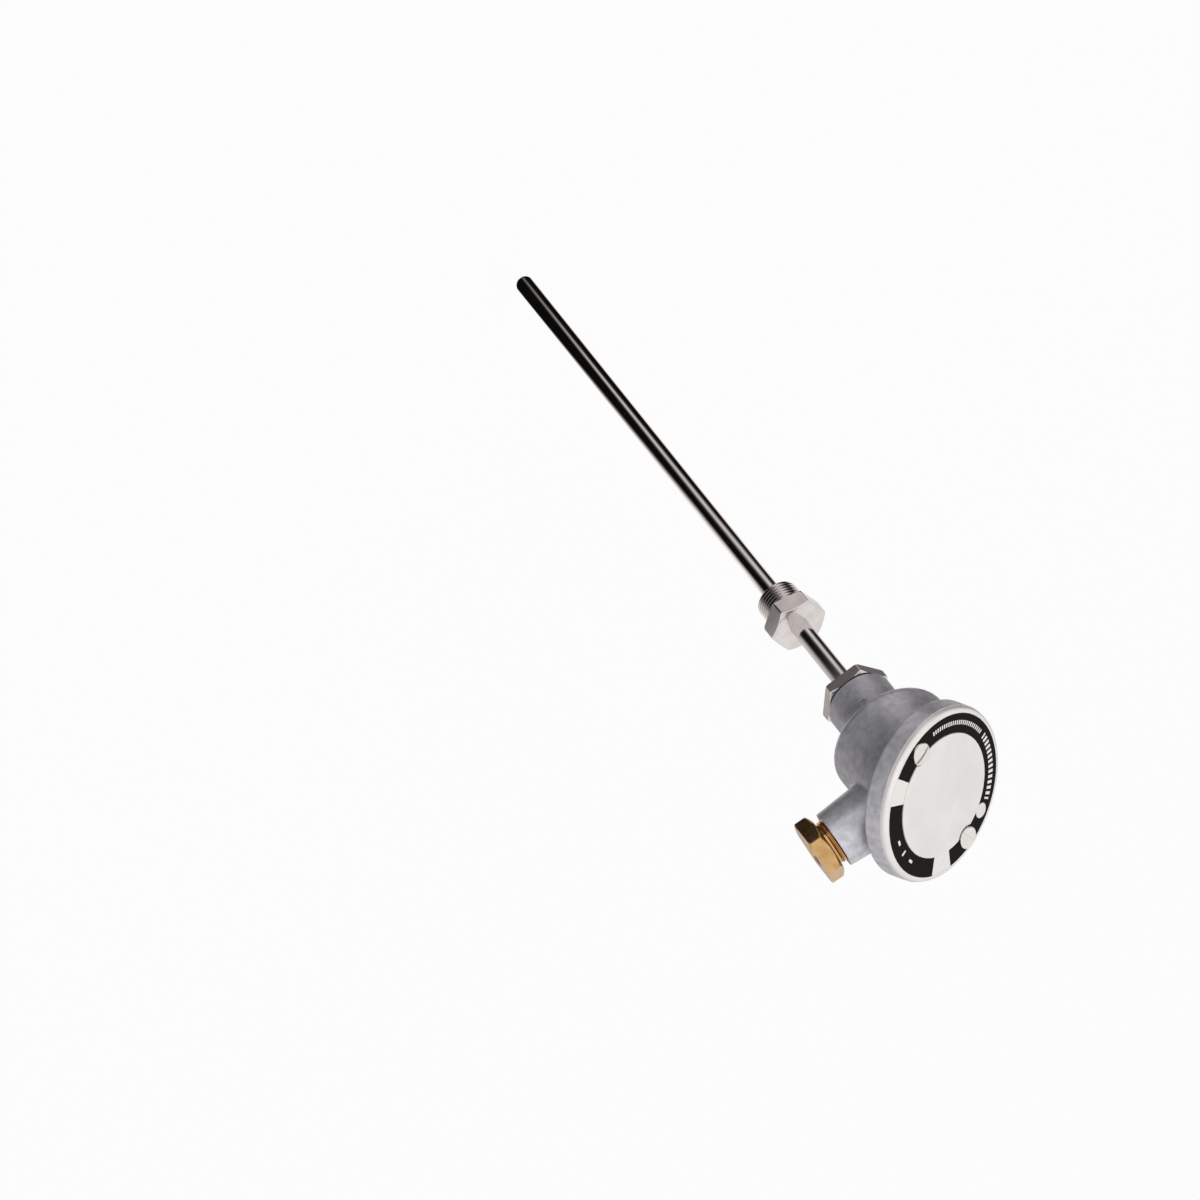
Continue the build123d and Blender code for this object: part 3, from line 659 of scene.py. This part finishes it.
coverScrew = {
    "headRadius": 5.5,
    "headHeight": 2.4,
    "edge": 0.9,
    "crown": 0.7,
    "slotWidth": 1.5,
    "slotDepth": 1.5,
    "shankRadius": 2.42,
    "length": 9.0,
    "shank": ((0.7, -1.0), (1.0, -0.93), (1.0, 0.0)),  # shares of that radius and length
    "turns": {33.3: 18.6, -33.3: -85.3},  # place across the cover and turn of the slot
    "besideRows": 17,
    "slotRows": 4,
    "alongColumns": 33,
    "outermost": 0.999,  # share of the radius where the grid ends
    "shankColumns": 24,
}


def slottedScrewMesh(name, across, turn):
    # the top is a grid of x across the slot and y = v sqrt(R^2 - x^2) along it. Its height falls
    # by crown (r / R)^2 and by a quarter round at the rim, and is the slot's floor within it.
    # A skirt joins the top's outline to the same outline at the seat.
    radius, height, half = coverScrew["headRadius"], coverScrew["headHeight"], coverScrew["slotWidth"] / 2
    edge, slotRows = coverScrew["edge"], coverScrew["slotRows"]
    ends = math.asin(coverScrew["outermost"]), math.asin(half / radius)
    beside = -radius * np.sin(np.linspace(*ends, coverScrew["besideRows"]))
    x = np.concatenate([beside, np.linspace(-half, half, slotRows), -beside[::-1]])
    inSlot = np.zeros(len(x), bool)
    inSlot[len(beside) : len(beside) + slotRows] = True
    v = np.sin(np.linspace(-math.pi / 2, math.pi / 2, coverScrew["alongColumns"]))
    gridX = np.repeat(x[:, None], len(v), 1)
    gridY = v * np.sqrt(radius**2 - gridX**2)
    r = np.minimum(np.hypot(gridX, gridY), radius)
    inRim = np.maximum(0, r - radius + edge)
    fall = coverScrew["crown"] * (r / radius) ** 2 + edge - np.sqrt(np.maximum(edge**2 - inRim**2, 0))
    floorHeight = height - coverScrew["slotDepth"]
    gridZ = np.where(inSlot[:, None], np.minimum(floorHeight, height - fall), height - fall)
    top = np.stack([gridX, gridY, gridZ], -1)
    number = np.arange(gridX.size).reshape(gridX.shape)
    quads = np.stack([number[:-1, :-1], number[1:, :-1], number[1:, 1:], number[:-1, 1:]], -1)
    outline = np.concatenate([number[:-1, 0], number[-1, :-1], number[:0:-1, -1], number[0, :0:-1]])
    points = top.reshape(-1, 3)
    seat = points[outline] * (1, 1, 0)
    lower = len(points) + np.arange(len(outline))
    skirt = np.stack([lower, np.roll(lower, -1), np.roll(outline, -1), outline], -1)
    points = np.vstack([points, seat])
    faces = quads.reshape(-1, 4).tolist() + skirt.tolist() + [lower[::-1].tolist()]
    angles = np.radians(np.arange(coverScrew["shankColumns"]) * 360 / coverScrew["shankColumns"])
    shank = np.array(coverScrew["shank"]) * (coverScrew["shankRadius"], coverScrew["length"])
    shankPoints = turnedRings(shank[:, :1], shank[:, 1], angles).reshape(-1, 3)
    index = len(points) + np.arange(len(shankPoints)).reshape(len(shank), -1)
    walls = np.stack([index[:-1], np.roll(index[:-1], -1, 1), np.roll(index[1:], -1, 1), index[1:]], -1)
    faces += walls.reshape(-1, 4).tolist() + [index[0, ::-1].tolist(), index[-1].tolist()]
    points = np.vstack([points, shankPoints])
    c, s = math.cos(math.radians(turn)), math.sin(math.radians(turn))
    points = points @ np.array([(c, s, 0), (-s, c, 0), (0, 0, 1)]) + (0, across, 0)
    mesh = bpy.data.meshes.new(name)
    mesh.from_pydata(placed(points, "cover").tolist(), [], faces)
    mesh.update()
    return mesh


for count, (across, turn) in enumerate(coverScrew["turns"].items()):
    name = f"coverScrew{count + 1}"
    mesh = slottedScrewMesh(name, across, turn)
    showMesh(name, mesh, "head", "nickel_plated_steel", ["cover_screws"])
print("cover, ring, rivet and screws made")

# ---- the two springs of the measuring insert ----

insertSpring = {
    "radius": 2.85,
    "wireRadius": 0.45,
    "bottom": 106.6,
    "rise": 15.0,
    "turns": 6,
    "stepsPerTurn": 40,
    "wireColumns": 12,
    "upperEnd": 122.1,  # under the screw's head
    "pressedShare": 0.625,  # 10 of 16 mm, with the insert lifted by 6 mm
    "sharpAngle": 60,
    "places": {"insert_spring_1": 16.5, "insert_spring_2": -16.5},
}


def springMesh(name, side):
    # a circle of the wire's radius carried along (R cos a, side + R sin a, bottom + rise a / end),
    # in the plane of outwards (cos a, sin a, 0) and path x outwards; a point closes either end
    end = 2 * math.pi * insertSpring["turns"]
    a = np.linspace(0, end, insertSpring["turns"] * insertSpring["stepsPerTurn"] + 1)
    radius, slope = insertSpring["radius"], insertSpring["rise"] / end
    outwards = np.stack([np.cos(a), np.sin(a), 0 * a], -1)
    path = np.stack([-radius * np.sin(a), radius * np.cos(a), slope + 0 * a], -1)
    path /= np.linalg.norm(path, axis=1, keepdims=True)
    middle = outwards * radius + np.stack([0 * a, side + 0 * a, insertSpring["bottom"] + slope * a], -1)
    columns = insertSpring["wireColumns"]
    b = (np.arange(columns) * 2 * math.pi / columns)[None, :, None]
    across = outwards[:, None] * np.cos(b) + np.cross(path, outwards)[:, None] * np.sin(b)
    rings = middle[:, None] + across * insertSpring["wireRadius"]
    ends = [placed(point, "stem") for point in (middle[0], middle[-1])]
    return ringMesh(name, placed(rings, "stem"), startPoint=ends[0], endPoint=ends[1])


for count, (node, side) in enumerate(insertSpring["places"].items()):
    name = f"insertSpring{count + 1}"
    mesh = springMesh(name, side)
    piece = showMesh(name, mesh, "head", "nickel_wire", [node], insertSpring["sharpAngle"])
    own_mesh(piece)
print("springs made")

# ---- camera ----

photoCamera = {
    "azimuth": 5.244,
    "elevation": 42.587,
    "roll": 141.953,
    "aimMm": (71.93, -65.34, -16.25),
    "distance": 4.8,
    "lens": 311.17,
    "sensor": 36,
    "clipEnd": 50,
}


def setInScene(thing, right, up, back, place):
    # the columns of an object's matrix are its own three directions and its place, in metres
    matrix = np.eye(4)
    matrix[:3] = np.stack([right, up, back, place], 1)
    thing.matrix_world = matrix.T.tolist()
    bpy.context.scene.collection.objects.link(thing)


def addCamera(azimuth, elevation, roll, aimMm, distance, lens, sensor, clipEnd):
    # back = (sin a cos e, -cos a cos e, sin e); up is the steepest direction turned by the roll
    a, e, r = (math.radians(x) for x in (azimuth, elevation, roll))
    back = np.array([math.sin(a) * math.cos(e), -math.cos(a) * math.cos(e), math.sin(e)])
    steepest = np.array([0, 0, 1]) - back[2] * back
    steepest /= np.linalg.norm(steepest)
    level = np.cross(steepest, back)
    up = steepest * math.cos(r) - level * math.sin(r)
    camera = bpy.data.objects.new("camera", bpy.data.cameras.new("camera"))
    camera.data.lens = lens
    camera.data.sensor_width = sensor
    camera.data.clip_end = clipEnd
    setInScene(camera, np.cross(up, back), up, back, np.array(aimMm) * mm + back * distance)
    bpy.context.scene.camera = camera


addCamera(**photoCamera)

# ---- floor, light ----

studio = {
    "floorHeight": -0.3,
    "floorHalf": 9.0,
    "paper": "#9a9a9a",
    "paperRough": 0.9,
    "floorWhite": 0.97,
    "worldStrength": 0.3,
    "keyPower": 35.0,
    "keySize": 1.0,
    "keyPlace": (-0.2, -0.9, 1.75),
    "keyAim": (0, 0, 0.1),
    "cardLift": 0.001,
    "cardTint": "#fffaf8",
    "cardColumns": 360,
    "cardInner": (0.002, 0.45, 120),  # from, to and rings, evenly apart
    "cardOuter": (0.46, 4.0, 40),  # the same, each wider than the last
    # two soft light sectors on the card. Per row: distance from the stem in metres, the narrow
    # one's direction from +X, half width and brightness, then the wide one's first edge and its
    # softness, last edge and brightness
    "sectors": (
        (0.00, -114, 10.0, 0.10, 60, 18, 155, 1.15),
        (0.04, -114, 11.0, 0.24, 57, 20, 155, 1.15),
        (0.12, -110, 11.5, 0.74, 38, 42, 155, 1.15),
        (0.23, -112, 16.0, 0.80, 9, 38, 161, 1.15),
        (0.29, -120, 18.5, 0.82, 4, 30, 161, 1.15),
        (0.36, -132, 17.0, 0.86, -14, 30, 150, 0.75),
        (0.39, -132, 17.5, 0.86, -12, 32, 149, 0.70),
        (0.41, -133, 20.0, 0.86, -8, 34, 137, 0.50),
        (1.20, -133, 24.0, 0.86, -8, 34, 160, 0.85),
    ),
    "lastSoftness": 13.0,
    # the lowest tone, and what it is from a distance on, outside of what the stem mirrors
    "black": 0.005,
    "outerGrey": (0.403, 0.18),
    # a darker patch for the fitting's left flat: from, to, direction, half width, share of light
    "darkPatch": (0.312, 0.352, 0.0, 42.0, 0.2),
}


def cardTones(angles, radii):
    # narrow: b 2 ^ -((angle - middle) / width)^2. Wide: b S1 S2, where S is 3 t^2 - 2 t^3 across
    # each edge.
    azimuth = np.degrees(np.arctan2(np.sin(angles), np.cos(angles)))[None, :]
    r = np.asarray(radii)[:, None]
    rows = np.array(studio["sectors"], float)
    columns = (np.interp(r, rows[:, 0], column) for column in rows.T[1:])
    middle, width, bright, first, firstSoft, last, wideBright = columns
    narrow = bright * 2 ** -((((azimuth - middle + 180) % 360 - 180) / width) ** 2)
    t = np.clip((azimuth - first) / (2 * firstSoft) + 0.5, 0, 1)
    u = np.clip((last - azimuth) / (2 * studio["lastSoftness"]) + 0.5, 0, 1)
    wide = wideBright * (3 * t**2 - 2 * t**3) * (3 * u**2 - 2 * u**3)
    outerFrom, outerTone = studio["outerGrey"]
    lowest = np.where(r > outerFrom, outerTone, studio["black"])
    patchFrom, patchTo, towards, half, share = studio["darkPatch"]
    inPatch = (r > patchFrom) & (r < patchTo) & (np.abs(azimuth - towards) < half)
    return np.maximum(narrow + wide, lowest) * np.where(inPatch, share, 1)


def seenDirectly(tree):
    # 1 for a ray from the camera, from metal or through glass, and 0 for diffuse light
    path = addNode(tree, "ShaderNodeLightPath")
    seen = path.outputs["Is Camera Ray"]
    for ray in ("Is Glossy Ray", "Is Transmission Ray"):
        seen = addNode(tree, "ShaderNodeMath", {0: seen, 1: path.outputs[ray]}, operation="MAXIMUM")
    return seen


def addStudio():
    scene = bpy.context.scene
    half, height = studio["floorHalf"], studio["floorHeight"]
    floorMesh = bpy.data.meshes.new("floor")
    corners = [(x * half, y * half, height) for x, y in ((-1, -1), (1, -1), (1, 1), (-1, 1))]
    floorMesh.from_pydata(corners, [], [(0, 1, 2, 3)])
    floor = bpy.data.objects.new("floor", floorMesh)
    scene.collection.objects.link(floor)

    # the floor is grey paper for diffuse light, and almost plain white as seen by the camera
    # and in metal, so that only a faint shadow stays
    sockets = {"Base Color": linearColour(studio["paper"]), "Roughness": studio["paperRough"]}
    material, tree, shader = newMaterial("greyPaper", sockets)
    sockets = {0: seenDirectly(tree), 1: studio["floorWhite"]}
    share = addNode(tree, "ShaderNodeMath", sockets, operation="MULTIPLY")
    white = addNode(tree, "ShaderNodeEmission", {"Strength": 1.0})
    mix = addNode(tree, "ShaderNodeMixShader", {0: share, 1: shader, 2: white})
    tree.links.new(mix.outputs[0], tree.nodes["Material Output"].inputs["Surface"])
    floorMesh.materials.append(material)

    # a round card on the floor that only metal sees: dark and light sectors about the stem, as
    # black and white cards stand round polished pieces in a studio
    angles = np.radians(np.arange(studio["cardColumns"]) * 360 / studio["cardColumns"])
    radii = np.concatenate([np.linspace(*studio["cardInner"]), np.geomspace(*studio["cardOuter"])])
    shade = cardTones(angles, radii)
    heights = np.full(len(radii), height + studio["cardLift"])
    cardMesh = ringMesh("toneCard", turnedRings(radii[:, None], heights, angles))
    attribute = cardMesh.attributes.new("tone", "FLOAT", "POINT")
    attribute.data.foreach_set("value", shade.astype(np.float32).ravel())
    card = bpy.data.objects.new("toneCard", cardMesh)
    scene.collection.objects.link(card)
    card.visible_camera = card.visible_diffuse = False
    card.visible_shadow = card.visible_transmission = False
    material, tree, shader = newMaterial("toneCard", {})
    tones = addNode(tree, "ShaderNodeAttribute", attribute_name="tone")
    sockets = {"Color": linearColour(studio["cardTint"]), "Strength": tones.outputs["Fac"]}
    glow = addNode(tree, "ShaderNodeEmission", sockets)
    tree.links.new(glow.outputs[0], tree.nodes["Material Output"].inputs["Surface"])
    cardMesh.materials.append(material)

    world = bpy.data.worlds.new("softRoom")
    world.use_nodes = True
    tree = world.node_tree
    tree.nodes.clear()
    plain = (1, 1, 1, 1)
    room = addNode(tree, "ShaderNodeBackground", {"Color": plain, "Strength": studio["worldStrength"]})
    white = addNode(tree, "ShaderNodeBackground", {"Color": plain, "Strength": 1.0})
    mix = addNode(tree, "ShaderNodeMixShader", {0: seenDirectly(tree), 1: room, 2: white})
    addNode(tree, "ShaderNodeOutputWorld", {"Surface": mix})
    scene.world = world

    lamp = bpy.data.lights.new("softbox", "AREA")
    lamp.shape = "SQUARE"
    lamp.size = studio["keySize"]
    lamp.energy = studio["keyPower"]
    softbox = bpy.data.objects.new("softbox", lamp)
    softbox.visible_glossy = False  # metal mirrors the white room instead
    place = np.array(studio["keyPlace"])
    back = place - np.array(studio["keyAim"])
    back /= np.linalg.norm(back)
    side = np.cross([0, 1, 0], back)
    side /= np.linalg.norm(side)
    setInScene(softbox, side, np.cross(back, side), back, place)
    scene.view_settings.view_transform = "Standard"


addStudio()
print("studio set up")

bpy.context.view_layer.update()
